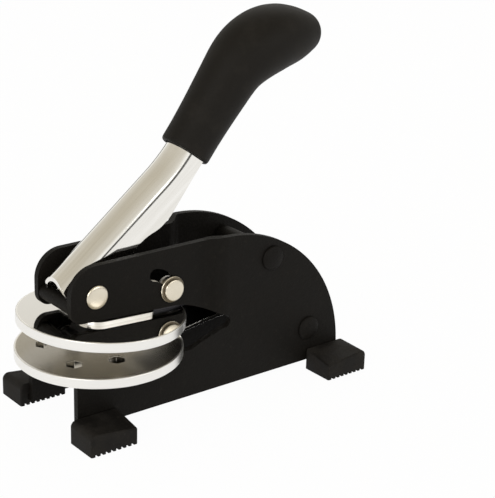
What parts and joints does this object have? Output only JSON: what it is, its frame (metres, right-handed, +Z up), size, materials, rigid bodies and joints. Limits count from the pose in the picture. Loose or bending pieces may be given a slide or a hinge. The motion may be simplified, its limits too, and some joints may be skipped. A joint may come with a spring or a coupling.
{
  "type": "seal embosser",
  "caption": "Desk seal embosser: two-plate steel frame on rubber feet, long gripped lever with a cam, spring clip holding an upper and a lower die disc, side lock pin.",
  "frame": {"origin": "middle of the footprint on the surface the embosser stands on", "axes": "+X to the rear (the throat opens towards -X), +Y to the operator's left seen from the front of the throat's opening side, +Z up"},
  "size_m": [0.1322, 0.0606, 0.1396],
  "materials": {
    "black_paint": "fine crinkle black paint",
    "foot_rubber": "matte",
    "grip_rubber": "matte",
    "bright_steel": "turned rim, satin face",
    "clip_steel": "polished",
    "chrome": "polished",
    "nickel": "satin nickel",
    "plain_steel": "bare",
    "cam_steel": "black oxide"
  },
  "bodies": {
    "frame": {"side_plate_left": "black_paint", "side_plate_right": "black_paint", "bolster_block": "black_paint", "front_stop_bar": "black_paint", "stop_sleeve": "black_paint", "rear_spacer": "black_paint", "frame_rivets": "black_paint", "pivot_rivet": "nickel", "pivot_washers": "plain_steel", "foot_front_left": "foot_rubber", "foot_front_right": "foot_rubber", "foot_rear_left": "foot_rubber", "foot_rear_right": "foot_rubber", "lower_disc": "bright_steel", "clip_lower_leaf": "clip_steel"},
    "jaw": {"upper_disc": "bright_steel", "clip_upper_leaf": "clip_steel"},
    "lever": {"lever_channel": "chrome", "cam_block": "cam_steel", "cam_rivets": "plain_steel", "grip": "grip_rubber"},
    "lock_pin": {"lock_pin_shaft": "nickel", "lock_pin_washer": "plain_steel", "lock_pin_head": "nickel"}
  },
  "joints": [
    {"name": "lever_press", "type": "hinge", "parent": "frame", "child": "lever", "pos_m": [-0.04453, 0, 0.04932], "axis": [0, 1, 0], "range_deg": [0, 30], "stiffness_Nm_per_rad": 0.15, "springref_deg": -28.65},
    {"name": "jaw_close", "type": "hinge", "parent": "frame", "child": "jaw", "pos_m": [0.01387, 0, 0.03035], "axis": [0, -1, 0], "range_deg": [0, 3.12], "stiffness_Nm_per_rad": 2, "springref_deg": -3.44},
    {"name": "lock_pin_swing", "type": "hinge", "parent": "frame", "child": "lock_pin", "pos_m": [-0.02163, 0, 0.0435], "axis": [0, -1, 0], "range_deg": [0, 69]}
  ],
  "couplings": [
    {"joint": "jaw_close", "follows": "lever_press", "ratio": 0.10333}
  ]
}
